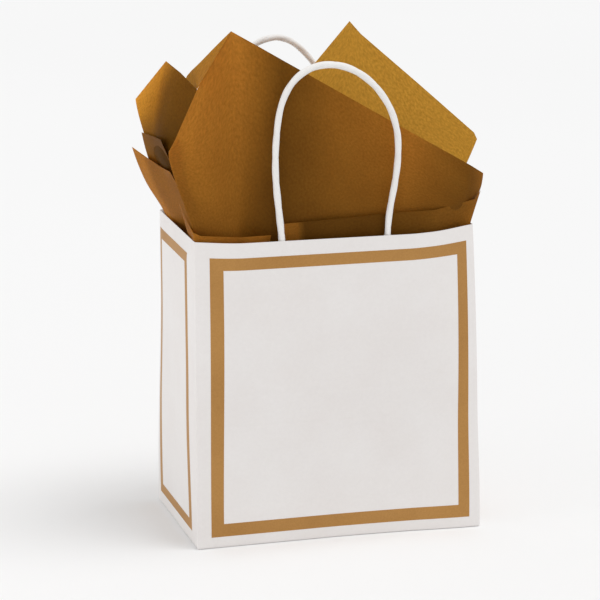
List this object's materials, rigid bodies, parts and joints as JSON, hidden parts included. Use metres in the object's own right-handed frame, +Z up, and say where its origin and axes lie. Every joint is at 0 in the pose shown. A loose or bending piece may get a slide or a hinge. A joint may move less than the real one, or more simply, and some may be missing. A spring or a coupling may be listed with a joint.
{
  "type": "gift bag",
  "caption": "Paper gift bag with block bottom, side gussets, printed border frames, twisted paper cord handles and kraft tissue in the mouth.",
  "frame": {"origin": "centre of the bag's flat base, on the surface it stands on", "axes": "+Z up, +X to the right of the front face, +Y to the back; the front face looks along -Y"},
  "size_m": [0.2479, 0.1362, 0.354],
  "materials": {
    "bag_paper": "smooth white kraft paper, matt",
    "print": "flat tan-gold printing ink on the paper",
    "cord": "twisted white paper cord, matt",
    "tissue": "thin brown kraft tissue, slightly translucent"
  },
  "bodies": {
    "bag": {"front_panel": "bag_paper", "back_panel": "bag_paper", "left_gusset_front": "bag_paper", "left_gusset_rear": "bag_paper", "right_gusset_front": "bag_paper", "right_gusset_rear": "bag_paper", "seam_lap": "bag_paper", "bottom_left_tuck": "bag_paper", "bottom_right_tuck": "bag_paper", "bottom_front_flap": "bag_paper", "bottom_rear_flap": "bag_paper", "front_frame": "print", "back_frame": "print", "left_frame": "print", "right_frame": "print", "front_patch_ply": "bag_paper", "front_patch_cover": "bag_paper", "front_cord_ends": "cord", "rear_patch_ply": "bag_paper", "rear_patch_cover": "bag_paper", "rear_cord_ends": "cord"},
    "front_loop": {"front_handle": "cord"},
    "rear_loop": {"rear_handle": "cord"},
    "front_tissue": {"front_sheet": "tissue", "front_right_band": "tissue", "corner_sheet": "tissue", "left_tall_sheet": "tissue", "left_middle_sheet": "tissue", "left_low_sheet": "tissue"},
    "rear_tissue": {"rear_right_sheet": "tissue", "rear_band": "tissue"}
  },
  "joints": [
    {"name": "front_handle_fold", "type": "hinge", "parent": "bag", "child": "front_loop", "pos_m": [0, -0.06505, 0.222], "axis": [1, 0, 0], "range_deg": [0, 110], "stiffness_Nm_per_rad": 0.02},
    {"name": "rear_handle_fold", "type": "hinge", "parent": "bag", "child": "rear_loop", "pos_m": [0, 0.06505, 0.222], "axis": [-1, 0, 0], "range_deg": [0, 110], "stiffness_Nm_per_rad": 0.02},
    {"name": "front_tissue_lift", "type": "slide", "parent": "bag", "child": "front_tissue", "axis": [0, 0, 1], "range_m": [0, 0.15]},
    {"name": "rear_tissue_lift", "type": "slide", "parent": "bag", "child": "rear_tissue", "axis": [0, 0, 1], "range_m": [0, 0.15]}
  ]
}
